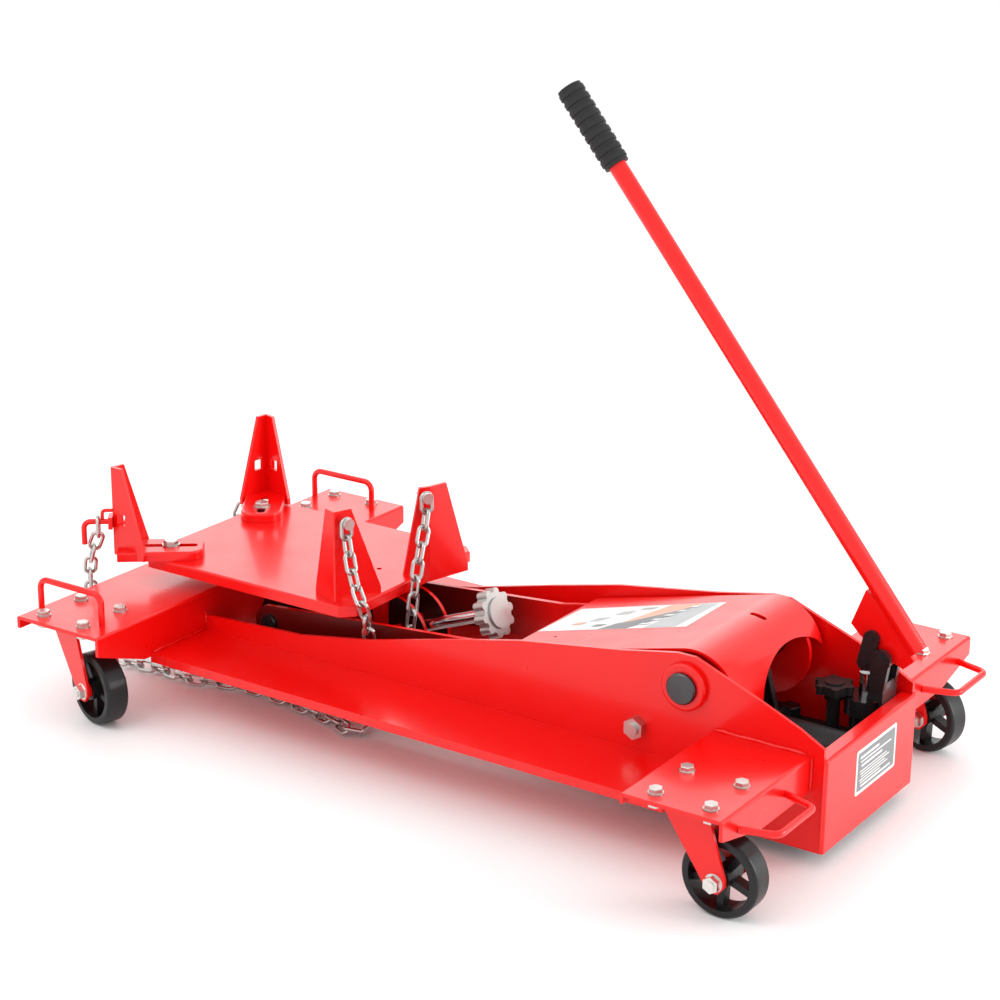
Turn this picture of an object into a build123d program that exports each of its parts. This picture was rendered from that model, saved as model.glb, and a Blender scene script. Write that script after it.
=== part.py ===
from build123d import *
import os
from math import atan2, cos, degrees, hypot, radians, sin

# ---------------------------------------------------------------- driving dimensions (mm)
# X runs from the front casters to the pump end, Y to the far side, Z up from the floor.
SHEET = 5.0                      # gauge of the pressed steel frame
TRACK = 295.0                    # Y of each caster's swivel axis
WHEELBASE = 1000.0               # front to rear swivel axes
DECK_Z = 151.0                   # top of the crossbeam and the rear wings
HALF_WIDTH = 355.0               # outer end of the crossbeam and the wings
ORIGIN_X = 517.70                 # middle of the whole jack's length

BEAM_X0, BEAM_X1 = -68.0, 86.0   # front crossbeam
WING_X0, WING_X1 = 926.0, 1066.0 # rear wings
WEB_Y = 126.0                    # inner face of each rail's web
FLANGE_Y = 250.0                 # outer edge of each rail's bottom flange
FLANGE_Z = 95.0                  # top of that flange
FLANGE_X1 = 926.0                # its square-cut rear end
BOX_X = 1088.0                   # outer face of the rear box plate
BOX_Z0, BOX_Z1 = 22.0, 149.0
WEB_LOW = 52.0                   # lower edge of each rail's web

PIVOT = (886.0, 200.0)           # lift arm pivot, X and Z
ARM_PIN = (177.0, 113.0)         # arm's front pin, X and Z
LINK_OFFSET = (-69.0, -73.0)     # from each arm pin to the levelling rod's pin
ARM_Y0, ARM_Y1 = 88.0, 95.0      # arm plates
ROD_Y0, ROD_Y1 = 68.0, 78.0      # levelling rods
CHEEK_Y0, CHEEK_Y1 = 44.0, 52.0  # saddle base cheeks
SHAFT_R = 21.0
RUN = 0.06                       # radial running clearance
CROSS_TUBE = (620.0, 140.0)      # tube between the arm plates, X and Z
LEVER = 110.0                    # ram lever, pivot to roller
LEVER_ANGLE = -64.0              # lever at rest, degrees from +X in the XZ plane
ROLLER_R = 14.0
RAM_GAP = 1.3                    # rod end to roller at rest

PLATE_X0, PLATE_X1 = -18.0, 368.0
PLATE_Y = 155.0
PLATE_Z = 195.0                  # top of the saddle plate
PLATE_LIP = 16.0
TILT_PIN = (175.0, 150.0)
SCREW_START = (318.0, 99.9)      # tilt screw's front end, X and Z
SCREW_PITCH = 20.9               # its climb towards the pump, degrees
SCREW_LENGTH = 190.0

BRACKET_H = 133.0                # upright part of each saddle bracket
BRACKET_T = 5.0
FOOT_LENGTH, FOOT_WIDTH, FOOT_H = 128.0, 62.0, 14.0
SLOT_LENGTH, SLOT_WIDTH = 78.0, 12.8

PUMP_Y = 88.0
FULCRUM = (1060.0, 209.0)
LINK_TOP = (1041.0, 232.0)
LINK_LOW = (1034.0, 197.0)
HANDLE_TOP = (559.0, 894.0)
HANDLE_LOW = (1104.0, 226.0)
HANDLE_R = 12.5
GRIP_LENGTH, GRIP_R = 122.0, 18.5
VALVE = (996.0, 72.0)
FILLER = (916.0, 108.0)

WHEEL_R, WHEEL_W = 52.0, 34.0
TRAIL = 40.0
BOLT_SPACING = 75.0
CHAIN_WIRE, CHAIN_PITCH = 5.5, 23.6

os.makedirs("parts", exist_ok=True)


# ---------------------------------------------------------------- helpers
def save(name, *shapes):
    """Write one node, moved so that the origin is under the middle of the jack."""
    solids = [s for shape in shapes for s in shape.solids()]
    moved = [s.moved(Location((-ORIGIN_X, 0, 0))) for s in solids]
    body = moved[0] if len(moved) == 1 else Compound(moved)
    export_step(body, f"parts/{name}.step")


def block(x0, x1, y0, y1, z0, z1):
    size = Box(x1 - x0, y1 - y0, z1 - z0)
    return Pos((x0 + x1) / 2, (y0 + y1) / 2, (z0 + z1) / 2) * size


def bar(start, end, radius):
    """A round bar between two points."""
    start, end = Vector(*start), Vector(*end)
    axis = end - start
    return Solid.make_cylinder(radius, axis.length, Plane(start, z_dir=axis))


def cross_bar(xz, radius, y0, y1):
    return bar((xz[0], y0, xz[1]), (xz[0], y1, xz[1]), radius)


def post(x, y, radius, z0, z1):
    return bar((x, y, z0), (x, y, z1), radius)


def side_plate(points, y0, y1):
    """A plate cut to an XZ outline and standing between two Y planes."""
    outline = Wire.make_polygon([Vector(x, y0, z) for x, z in points], close=True)
    return extrude(Face(outline), amount=y1 - y0, dir=(0, 1, 0))


def end_profile(points, x0, x1):
    """A bar cut to a YZ outline and running between two X planes."""
    outline = Wire.make_polygon([Vector(x0, y, z) for y, z in points], close=True)
    return extrude(Face(outline), amount=x1 - x0, dir=(1, 0, 0))


def flat_plate(points, z0, z1):
    outline = Wire.make_polygon([Vector(x, y, z0) for x, y in points], close=True)
    return extrude(Face(outline), amount=z1 - z0, dir=(0, 0, 1))


def hexagon(x, y, flats, z0, z1):
    return Pos(x, y, z0) * extrude(RegularPolygon(flats / 2, 6, major_radius=False), z1 - z0)


def lever(a, b, ra, rb, y0, y1):
    """A plate with round ends about two XZ points."""
    ax, az = a
    bx, bz = b
    length = hypot(bx - ax, bz - az)
    nx, nz = -(bz - az) / length, (bx - ax) / length
    body = [(ax + nx * ra, az + nz * ra), (bx + nx * rb, bz + nz * rb),
            (bx - nx * rb, bz - nz * rb), (ax - nx * ra, az - nz * ra)]
    plate = side_plate(body, y0, y1)
    return plate + cross_bar(a, ra, y0, y1) + cross_bar(b, rb, y0, y1)


def bent_rod(points, radius, bend):
    path = FilletPolyline(*points, radius=bend)
    return sweep(Plane(path @ 0, z_dir=path % 0) * Circle(radius), path=path)


def mirrored(shape):
    return mirror(shape, about=Plane.XZ)


def pair(shape):
    """The part and its mirror image on the other side."""
    return [shape, mirrored(shape)]


def bolt(x, y, z, radius, shank):
    """Hex bolt with a washer, its head's seat at z and its shank pointing down."""
    head = hexagon(x, y, radius * 3.2, z + 2, z + 2 + radius * 1.2)
    top = fillet(head.faces().sort_by(Axis.Z)[-1].edges(), radius * 0.18)
    return top + post(x, y, radius * 2.0, z, z + 2) + post(x, y, radius, z - shank, z + 1)


LINK_REAR = (PIVOT[0] + LINK_OFFSET[0], PIVOT[1] + LINK_OFFSET[1])
LINK_FRONT = (ARM_PIN[0] + LINK_OFFSET[0], ARM_PIN[1] + LINK_OFFSET[1])
CASTERS = {
    "near_front": (0.0, -TRACK, -16.0),
    "far_front": (0.0, TRACK, 12.0),
    "near_rear": (WHEELBASE, -TRACK, 0.0),
    "far_rear": (WHEELBASE, TRACK, -10.0),
}


# ---------------------------------------------------------------- frame
def crossbeam():
    """Inverted channel across the front; its rear wall deepens towards the rails."""
    top = block(BEAM_X0, BEAM_X1, -HALF_WIDTH, HALF_WIDTH, DECK_Z - SHEET, DECK_Z)
    lip = block(BEAM_X0, BEAM_X0 + SHEET, -HALF_WIDTH, HALF_WIDTH, DECK_Z - 18, DECK_Z)
    wall = [(-HALF_WIDTH, DECK_Z), (-HALF_WIDTH, DECK_Z - 28), (-262, FLANGE_Z - SHEET),
            (-WEB_Y, FLANGE_Z - SHEET), (-WEB_Y, 62), (WEB_Y, 62), (WEB_Y, FLANGE_Z - SHEET),
            (262, FLANGE_Z - SHEET), (HALF_WIDTH, DECK_Z - 28), (HALF_WIDTH, DECK_Z)]
    beam = top + lip + end_profile(wall, BEAM_X1 - SHEET, BEAM_X1)
    corners = beam.edges().filter_by(Axis.Y).group_by(Axis.Z)[-1]
    return fillet(corners, 4)


def rail():
    """Far side rail: a tall web, its bottom flange and the flange's down-turned lip."""
    profile = [(BEAM_X1, 116), (262, 125), (386, 146), (521, 178), (634, 203), (788, 226),
               (872, 242), (898, 242), (934, 228), (991, 206), (1048, 182),
               (BOX_X - SHEET, 163), (BOX_X - SHEET, BOX_Z0), (965, BOX_Z0), (935, WEB_LOW),
               (BEAM_X1, WEB_LOW)]
    web = side_plate(profile, WEB_Y, WEB_Y + SHEET)
    flange = block(BEAM_X1, FLANGE_X1, WEB_Y + SHEET, FLANGE_Y, FLANGE_Z - SHEET, FLANGE_Z)
    lip = block(BEAM_X1, FLANGE_X1, FLANGE_Y - SHEET, FLANGE_Y, FLANGE_Z - 13, FLANGE_Z)
    seat = fillet(lip.edges().filter_by(Axis.X).group_by(Axis.Z)[-1].sort_by(Axis.Y)[-1:], 4)
    body = web + flange + seat
    body -= cross_bar(PIVOT, SHAFT_R, 0, 200)
    return body - cross_bar(LINK_REAR, 8, 0, 200)


def rear_plate():
    """Plate across the pump end with rounded upright corners and an inward top lip."""
    half = WEB_Y + SHEET
    panel = block(BOX_X - SHEET, BOX_X, -half, half, BOX_Z0, BOX_Z1)
    lip = block(BOX_X - 20, BOX_X, -WEB_Y + 1, WEB_Y - 1, BOX_Z1 - SHEET, BOX_Z1)
    body = panel + lip
    outer = body.edges().filter_by(Axis.Z).group_by(Axis.X)[-1]
    body = fillet(outer, 4.5)
    crease = body.edges().filter_by(Axis.Y).group_by(Axis.Z)[-1].sort_by(Axis.X)[-1:]
    return fillet(crease, 4)


def wing():
    """Far rear wing: carries a caster, with its front and rear edges turned down."""
    y0 = WEB_Y + SHEET
    top = block(WING_X0, WING_X1, y0, HALF_WIDTH, DECK_Z - SHEET, DECK_Z)
    rear = [(y0, DECK_Z), (y0, DECK_Z - 48), (262, DECK_Z - 48), (HALF_WIDTH, DECK_Z - 26),
            (HALF_WIDTH, DECK_Z)]
    body = top + end_profile(rear, WING_X1 - SHEET, WING_X1)
    body += block(WING_X0, WING_X0 + SHEET, y0, HALF_WIDTH, DECK_Z - 14, DECK_Z)
    edges = body.edges().filter_by(Axis.Y).group_by(Axis.Z)[-1]
    return fillet(edges, 4)


def bolt_points(x, y):
    half = BOLT_SPACING / 2
    return [(x + i * half, y + j * half) for i in (-1, 1) for j in (-1, 1)]


def drilled(shape, radius):
    for x, y, _ in CASTERS.values():
        for bx, by in bolt_points(x, y):
            shape -= post(bx, by, radius, DECK_Z - 30, DECK_Z + 5)
    return shape


PLATE_TOP = DECK_Z - SHEET
BOLT_R = 5.0
save("front_crossbeam", drilled(crossbeam(), BOLT_R))
save("near_side_rail", mirrored(rail()))
save("far_side_rail", rail())
save("rear_box_plate", rear_plate())
save("rear_wings", *[drilled(w, BOLT_R) for w in pair(wing())])


def front_handle():
    """Grab bar over the caster, standing on the crossbeam."""
    y, z = 312, 195
    points = [(-62, y, DECK_Z), (-62, y, z), (54, y, z), (54, y, DECK_Z)]
    return bent_rod(points, 4.5, 14)


def rear_handle():
    """Loop welded to the wing's rear edge."""
    x, z = 1112, 126
    points = [(WING_X1, 198, z), (x, 212, z), (x, 302, z), (WING_X1, 316, z)]
    loop = bent_rod(points, 4.5, 14)
    return loop - block(WING_X1 - 20, WING_X1, 100, 400, 0, 200)


save("front_bar_handles", *pair(front_handle()))
save("rear_loop_handles", *pair(rear_handle()))


# ---------------------------------------------------------------- pivot and linkage anchors
def boss():
    ring = cross_bar(PIVOT, 32, WEB_Y + SHEET, WEB_Y + SHEET + 9)
    ring = fillet(ring.edges().filter_by(GeomType.CIRCLE).group_by(Axis.Y)[-1], 4)
    return ring - cross_bar(PIVOT, SHAFT_R, 0, 200)


def pivot_shaft():
    end = WEB_Y + SHEET + 15
    return chamfer(cross_bar(PIVOT, SHAFT_R, -end, end).edges().filter_by(GeomType.CIRCLE), 2)


def anchor_bolt():
    """Bolt through the rail on which a levelling rod swings, with its outer nut."""
    y1 = WEB_Y + SHEET
    shank = cross_bar(LINK_REAR, 8, ROD_Y0 - 4, y1 + 16)
    nut = hexagon(0, 0, 26, 0, 12)
    nut = Plane((LINK_REAR[0], y1, LINK_REAR[1]), z_dir=(0, 1, 0)) * nut
    nut -= cross_bar(LINK_REAR, 8, 0, 300)
    spacer = cross_bar(LINK_REAR, 12, ROD_Y1 + 1, WEB_Y)
    keeper = cross_bar(LINK_REAR, 12, ROD_Y0 - 4, ROD_Y0 - 1)
    return [shank + spacer + keeper, nut]


save("pivot_bosses", *pair(boss()))
save("arm_pivot_shaft", pivot_shaft())
anchors = anchor_bolt()
save("link_anchor_bolts", *anchors, *[mirrored(a) for a in anchors])


# ---------------------------------------------------------------- casters
def turned(shape, x, y, angle):
    """Move a caster part, drawn with its swivel axis on Z, to its place."""
    return Location((x, y, 0), (0, 0, angle)) * shape


def caster_plate():
    plate = block(-52, 52, -52, 52, PLATE_TOP - 5, PLATE_TOP)
    plate = fillet(plate.edges().filter_by(Axis.Z), 8)
    race = post(0, 0, 27, PLATE_TOP - 11, PLATE_TOP - 5)
    for bx, by in bolt_points(0, 0):
        plate -= post(bx, by, BOLT_R, 0, DECK_Z)
    return plate + race - post(0, 0, 6, 0, DECK_Z)


KINGPIN_HEAD_Z = PLATE_TOP - 16.8


def kingpin():
    """Rivet through the race that holds the fork; its head stays under the deck."""
    stem = post(0, 0, 6, KINGPIN_HEAD_Z, PLATE_TOP - 0.5)
    return stem + post(0, 0, 11, KINGPIN_HEAD_Z - 4, KINGPIN_HEAD_Z)


def fork():
    """Pressed yoke: a swivel crown and two tapered legs, the axle behind the swivel."""
    z1 = PLATE_TOP - 11.4
    crown = post(0, 0, 30, z1 - 5, z1)
    top = block(-34, 30, -29, 29, z1 - 5, z1)
    outline = [(-34, z1), (30, z1), (TRAIL + 15, WHEEL_R + 6), (TRAIL + 15, WHEEL_R - 3),
               (TRAIL + 6, WHEEL_R - 14), (TRAIL - 6, WHEEL_R - 14), (TRAIL - 15, WHEEL_R - 3)]
    leg = side_plate(outline, 24.5, 29)
    body = crown + top + leg + mirrored(leg)
    body -= post(0, 0, 6 + RUN, 0, DECK_Z)
    body = fillet(body.edges().filter_by(Axis.X).group_by(Axis.Z)[-1], 3.5)
    return body - cross_bar((TRAIL, WHEEL_R), 6, -60, 60)


def axle():
    """Axle bolt with a nut outside each leg and a thrust washer inside each."""
    centre = (TRAIL, WHEEL_R)
    body = cross_bar(centre, 6, -40, 40)
    for side in (-1, 1):
        nut = Plane((TRAIL, side * 29, WHEEL_R), z_dir=(0, side, 0)) * hexagon(0, 0, 19, 0, 9)
        washer = cross_bar(centre, 11, *sorted((side * 19, side * 24.5)))
        body += nut + washer
    return body


def wheel():
    """Cast wheel: a rounded rim, five spokes between wide windows, and a hub."""
    centre = (TRAIL, WHEEL_R)
    half = WHEEL_W / 2
    tread = cross_bar(centre, WHEEL_R, -half, half)
    tread = fillet(tread.edges().filter_by(GeomType.CIRCLE), 5)
    tread -= cross_bar(centre, 41.5, -half - 1, half + 1)
    body = tread + cross_bar(centre, 15, -half - 1.4, half + 1.4)
    for k in range(5):
        turn = Location((TRAIL, 0, WHEEL_R), (0, 72 * k + 20, 0))
        body += turn * block(12, 43, -8, 8, -4.5, 4.5)
    return body - cross_bar(centre, 6 + RUN, -60, 60)


caster_plates, caster_kingpins, caster_bolts = [], [], []
for name, (cx, cy, angle) in CASTERS.items():
    caster_plates.append(turned(caster_plate(), cx, cy, 0))
    caster_kingpins.append(turned(kingpin(), cx, cy, 0))
    for bx, by in bolt_points(cx, cy):
        caster_bolts.append(bolt(bx, by, DECK_Z, BOLT_R, 16))
        nut = hexagon(bx, by, 17, PLATE_TOP - 11, PLATE_TOP - 5)
        caster_bolts.append(nut - post(bx, by, BOLT_R, 0, DECK_Z))
    save(f"{name}_caster_fork", turned(fork(), cx, cy, angle), turned(axle(), cx, cy, angle))
    save(f"{name}_caster_wheel", turned(wheel(), cx, cy, angle))
save("caster_plates", *caster_plates)
save("caster_kingpins", *caster_kingpins)
save("caster_bolts", *caster_bolts)


# ---------------------------------------------------------------- lift arm
HOOD_X, HOOD_Z, HOOD_R = 888.0, 180.0, 66.0   # the cover's round rear end
COVER_HALF = 118.0
HOOD_T = 4.0
NOSE_R = 26.0
COVER_X0, COVER_Z0 = 600.0, 178.0


def tangent_point(radius):
    """Where a line from the cover's front end meets the round hood."""
    dx, dz = HOOD_X - COVER_X0, HOOD_Z - COVER_Z0
    reach = (hypot(dx, dz) ** 2 - radius ** 2) ** 0.5
    climb = atan2(dz, dx) + atan2(radius, reach)
    return COVER_X0 + reach * cos(climb), COVER_Z0 + reach * sin(climb)


def arm_plate():
    """One deep side plate, round at the front pin and at the hood."""
    inner = HOOD_R - HOOD_T
    tx, tz = tangent_point(inner)
    outline = [(ARM_PIN[0], ARM_PIN[1] + NOSE_R), (COVER_X0 - 40, COVER_Z0 - 8),
               (COVER_X0, COVER_Z0), (tx, tz), (HOOD_X + 20, HOOD_Z), (860, 150),
               (COVER_X0 - 40, 112), (ARM_PIN[0], ARM_PIN[1] - NOSE_R)]
    plate = side_plate(outline, ARM_Y0, ARM_Y1)
    plate += cross_bar(ARM_PIN, NOSE_R, ARM_Y0, ARM_Y1)
    plate += cross_bar((HOOD_X, HOOD_Z), inner, ARM_Y0, ARM_Y1)
    plate -= cross_bar(ARM_PIN, 12, 0, 200) + hood_sheet()
    return plate - cross_bar(PIVOT, SHAFT_R + RUN, 0, 200)


def hood_sheet():
    """The uncut cover: flat in front, rolled down behind the pivot."""
    tx, tz = tangent_point(HOOD_R)
    half = COVER_HALF
    solid = side_plate([(COVER_X0, COVER_Z0), (tx, tz), (HOOD_X + 1, HOOD_Z),
                        (HOOD_X + 1, HOOD_Z - 40), (COVER_X0, COVER_Z0 - 30)], -half, half)
    solid += cross_bar((HOOD_X, HOOD_Z), HOOD_R, -half, half)
    solid += block(HOOD_X, HOOD_X + HOOD_R, -half, half, HOOD_Z - 14, HOOD_Z)
    ix, iz = tangent_point(HOOD_R - HOOD_T)
    inner = side_plate([(COVER_X0 - 30, COVER_Z0 - 11), (COVER_X0, COVER_Z0 - HOOD_T - 0.1),
                        (ix, iz), (HOOD_X, HOOD_Z), (HOOD_X, HOOD_Z - 60),
                        (COVER_X0 - 30, COVER_Z0 - 60)], -half, half)
    inner += cross_bar((HOOD_X, HOOD_Z), HOOD_R - HOOD_T, -half, half)
    inner += block(HOOD_X - 60, HOOD_X + HOOD_R - HOOD_T, -half, half, HOOD_Z - 80, HOOD_Z)
    sheet = solid - inner
    return sheet - block(700, 1000, -200, 200, 0, HOOD_Z - 14)


def arm_cover():
    """Sheet over the arm with an arched cut-out that clears the pump when the arm rises."""
    sheet = hood_sheet()
    wide, tall, middle = 84, 40, 37
    arch = extrude(Plane((HOOD_X + 26, middle, HOOD_Z - 2), x_dir=(0, 1, 0), z_dir=(1, 0, 0))
                   * Ellipse(wide, tall), 90)
    arch += block(HOOD_X + 26, 1000, middle - wide, middle + wide, 0, HOOD_Z - 2)
    sheet -= arch
    slot = Pos(HOOD_X + 10, 36, 200) * extrude(SlotOverall(24, 9), 60)
    holes = [post(COVER_X0 + 46, y, 2.5, 150, 260) for y in (-62, 62)]
    for cut in [slot, *holes]:
        sheet -= cut
    corners = sheet.edges().filter_by(Axis.X).group_by(Axis.Z)[0]
    outer = [e for e in corners if e.length < HOOD_T + 1 and e.center().X > HOOD_X]
    return fillet(outer, 6)


def arm_hub():
    """Tube round the pivot shaft, between the arm plates."""
    return cross_bar(PIVOT, 30, -ARM_Y0, ARM_Y0) - cross_bar(PIVOT, SHAFT_R + RUN, -99, 99)


def cross_tube():
    """Stiffening tube between the arm plates, under the tilt screw."""
    tube = cross_bar(CROSS_TUBE, 16, -ARM_Y0, ARM_Y0)
    return tube - cross_bar(CROSS_TUBE, 12, -ARM_Y0, ARM_Y0)


def roller_centre():
    a = radians(LEVER_ANGLE)
    return PIVOT[0] + LEVER * cos(a), PIVOT[1] + LEVER * sin(a)


ROLLER = roller_centre()


def ram_lever():
    """Pair of cheeks under the hub that carry the ram's roller on a pin."""
    cheek = lever(PIVOT, ROLLER, 32, 13, 16, 26)
    cheek -= cross_bar(PIVOT, 30, 0, 50)
    pin = cross_bar(ROLLER, 7, -28, 28)
    return [cheek - cross_bar(ROLLER, 7, 0, 50), mirrored(cheek - cross_bar(ROLLER, 7, 0, 50)), pin]


def roller():
    return cross_bar(ROLLER, ROLLER_R, -15.5, 15.5) - cross_bar(ROLLER, 7, -20, 20)


def front_pin():
    """Pin welded in the arm plate; the saddle base swings on its inner end."""
    head = cross_bar(ARM_PIN, 14, ARM_Y1, ARM_Y1 + 6)
    head = chamfer(head.edges().filter_by(GeomType.CIRCLE).group_by(Axis.Y)[-1], 1.5)
    return head + cross_bar(ARM_PIN, 12, CHEEK_Y0 - 3, ARM_Y1)


save("arm_side_plates", *pair(arm_plate()))
save("arm_cover", arm_cover())
save("arm_hub_tube", arm_hub())
save("arm_cross_tube", cross_tube())
save("ram_lever", *ram_lever())
save("lever_roller", roller())
save("arm_front_pins", *pair(front_pin()))


# ---------------------------------------------------------------- levelling rods and saddle base
def levelling_rod():
    rod = lever(LINK_REAR, LINK_FRONT, 15, 14, ROD_Y0, ROD_Y1)
    slim = [(LINK_REAR[0] - 24, LINK_REAR[1] + 8), (LINK_FRONT[0] + 24, LINK_FRONT[1] + 14),
            (LINK_FRONT[0] + 24, LINK_FRONT[1] + 40), (LINK_REAR[0] - 24, LINK_REAR[1] + 40)]
    rod -= side_plate(slim, ROD_Y0, ROD_Y1)
    rod -= cross_bar(LINK_REAR, 8 + RUN, 0, 200)
    return rod - cross_bar(LINK_FRONT, LINK_PIN_R + LINK_PLAY, 0, 200)


LINK_PIN_R, LINK_PLAY = 8.0, 0.6   # the rod's front pivot has this much play
save("levelling_rods", *pair(levelling_rod()))


def cheek():
    """Saddle base side: holds the arm pin, the rod pin and the tilt pin."""
    outline = [(LINK_FRONT[0] - 14, LINK_FRONT[1] - 6), (LINK_FRONT[0] - 4, LINK_FRONT[1] - 14),
               (LINK_FRONT[0] + 10, LINK_FRONT[1] - 10), (200, 88), (330, 84), (346, 96),
               (346, 112), (300, 124), (205, 132), (196, 166), (175, 172), (154, 166),
               (132, 128)]
    body = side_plate(outline, CHEEK_Y0, CHEEK_Y1)
    body -= cross_bar(ARM_PIN, 12 + RUN, 0, 200)
    body -= cross_bar(TILT_PIN, 10, 0, 200)
    return body - cross_bar(LINK_FRONT, LINK_PIN_R, 0, 200)


def base_web():
    """Cross plates that tie the two cheeks together."""
    low = side_plate([(212, 91), (296, 89), (296, 94), (212, 96)], -CHEEK_Y0, CHEEK_Y0)
    front = block(122, 128, -CHEEK_Y0, CHEEK_Y0, 66, 96)
    return low, front


def rod_pin():
    """Pin from the cheek to the levelling rod, with a retaining collar."""
    pin = cross_bar(LINK_FRONT, LINK_PIN_R, CHEEK_Y0, ROD_Y1 + 5)
    return pin + cross_bar(LINK_FRONT, 12, ROD_Y1 + 1, ROD_Y1 + 5)


SCREW_R = 9.0
SCREW_DIR = Vector(cos(radians(SCREW_PITCH)), 0, sin(radians(SCREW_PITCH)))
SCREW_P0 = Vector(SCREW_START[0], 0, SCREW_START[1])


def along_screw(distance):
    return SCREW_P0 + SCREW_DIR * distance


def screw_housing():
    """Bearing block in which the tilt screw turns, carried between the cheeks."""
    at = along_screw(30)
    frame = Plane(at, x_dir=(0, 1, 0), z_dir=SCREW_DIR)
    body = extrude(frame * Rectangle(2 * CHEEK_Y0, 26), 16)
    return body - bar(along_screw(0), along_screw(60), SCREW_R + RUN)


def tilt_nut():
    """Round nut held in the housing's front face."""
    body = bar(along_screw(6), along_screw(30), 12.8)
    return body - bar(along_screw(0), along_screw(40), SCREW_R + RUN)


def quadrant(y0):
    """Round-backed guide plate welded behind the screw housing."""
    centre = (340.0, 106.0)
    disc = cross_bar(centre, 62, y0, y0 + 6)
    disc -= side_plate([(200, 300), (200, 0), (332, 0), (332, 92), (345, 300)], y0, y0 + 6)
    disc -= block(300, 500, y0, y0 + 6, 0, 84)
    return disc - screw_housing()


save("saddle_base", *pair(cheek()), *base_web(), screw_housing(), *pair(rod_pin()),
     quadrant(-19), quadrant(33), tilt_nut())
save("saddle_tilt_pin", cross_bar(TILT_PIN, 10, -66, 66))


# ---------------------------------------------------------------- saddle plate
CORNER = 18.0


def octagon(inset):
    x0, x1, y = PLATE_X0 + inset, PLATE_X1 - inset, PLATE_Y - inset
    c = CORNER - inset * 0.414
    return [(x0 + c, -y), (x1 - c, -y), (x1, -y + c), (x1, y - c),
            (x1 - c, y), (x0 + c, y), (x0, y - c), (x0, -y + c)]


def saddle_plate():
    """Flat tray, edges turned down, with welded lugs for the tilt pin and the screw."""
    tray = flat_plate(octagon(0), PLATE_Z - PLATE_LIP, PLATE_Z)
    tray = fillet(tray.faces().sort_by(Axis.Z)[-1].edges(), 3)
    under = PLATE_Z - SHEET
    tray -= flat_plate(octagon(SHEET), 0, under)
    tray -= post(304, 0, 4, 0, 300)
    for point in BRACKET_BOLTS.values():
        tray -= post(*point, 6, 0, 300)
    x, z = TILT_PIN
    lug = side_plate([(x - 26, under), (x + 26, under), (x + 14, z), (x - 14, z)], 54, 60)
    lug += cross_bar(TILT_PIN, 14, 54, 60)
    lug -= cross_bar(TILT_PIN, 10 + RUN, 0, 100)
    tail = side_plate([(308, under), (338, under), (336, 92), (318, 92)], 22, 28)
    return tray + lug + mirrored(lug) + tail + mirrored(tail)


def vee_leg(x, y, angle, wide, narrow, z0, height):
    """One leg of a folded upright, tapering as it rises."""
    along = Vector(cos(radians(angle)), sin(radians(angle)), 0)
    across = Vector(-along.Y, along.X, 0) * (BRACKET_T / 2)
    foot = Vector(x, y, z0)
    top = foot + Vector(0, 0, height)
    outline = [foot, foot + along * wide, foot + along * wide + Vector(0, 0, height * 0.07),
               top + along * narrow, top]
    face = Face(Wire.make_polygon([p - across for p in outline], close=True))
    return extrude(face, amount=BRACKET_T, dir=across.normalized())


def vee(x, y, legs, z0, height):
    """Folded upright: two tapered legs that meet in a rounded upright fold."""
    body = post(x, y, BRACKET_T / 2, z0, z0 + height)
    for angle, wide, narrow in legs:
        body += vee_leg(x, y, angle, wide, narrow, z0, height)
    return body


NEAR_REAR_LEGS = [(70, 74, 26), (160, 47, 19)]
FAR_REAR_LEGS = [(76, 72, 30), (-125, 40, 15)]
NEAR_REAR_FOLD = (337.0, -145.0)
FAR_REAR_FOLD = (370.2, 31.0)
CHAIN_Z = 313.0
CHAIN_BOLTS = {
    "near": ((340.8, -134.7, CHAIN_Z), -20.0),
    "far": ((365.3, 24.0, CHAIN_Z), -35.0),
}


def chain_bolt_axis(side):
    point, yaw = CHAIN_BOLTS[side]
    return Vector(*point), Vector(cos(radians(yaw)), sin(radians(yaw)), 0)


def chain_bolt(side):
    """Bolt through the upright's top that pins the end link, with a wide head."""
    at, out = chain_bolt_axis(side)
    head = bar(at + out * 18, at + out * 22, 8)
    nut = extrude(Plane(at - out * 2.6, z_dir=-out) * RegularPolygon(7, 6, major_radius=False), 6)
    return head + bar(at - out * 9, at + out * 19, 3.4) + nut


def rear_bracket(side, fold, legs, z0, height):
    at, out = chain_bolt_axis(side)
    upright = vee(*fold, legs, z0, height) - bar(at - out * 20, at + out * 30, 3.4)
    return upright - block(PLATE_X0, PLATE_X1, -PLATE_Y, PLATE_Y, 150, PLATE_Z)


# ---------------------------------------------------------------- adjustable front brackets
FOOT_Z = PLATE_Z + 0.2
FRONT = {
    # bolt X and Y, the direction in which the foot points from its upright, and the
    # distance from the bolt back to the upright's fold
    "near": ((21.0, -128.0), 38.0, 80.0),
    "far": ((16.0, 85.0), -56.0, 92.0),
}
BRACKET_BOLTS = {side: values[0] for side, values in FRONT.items()}


def at_bolt(side, shape):
    (x, y), angle, _ = FRONT[side]
    return Location((x, y, 0), (0, 0, angle)) * shape


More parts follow.
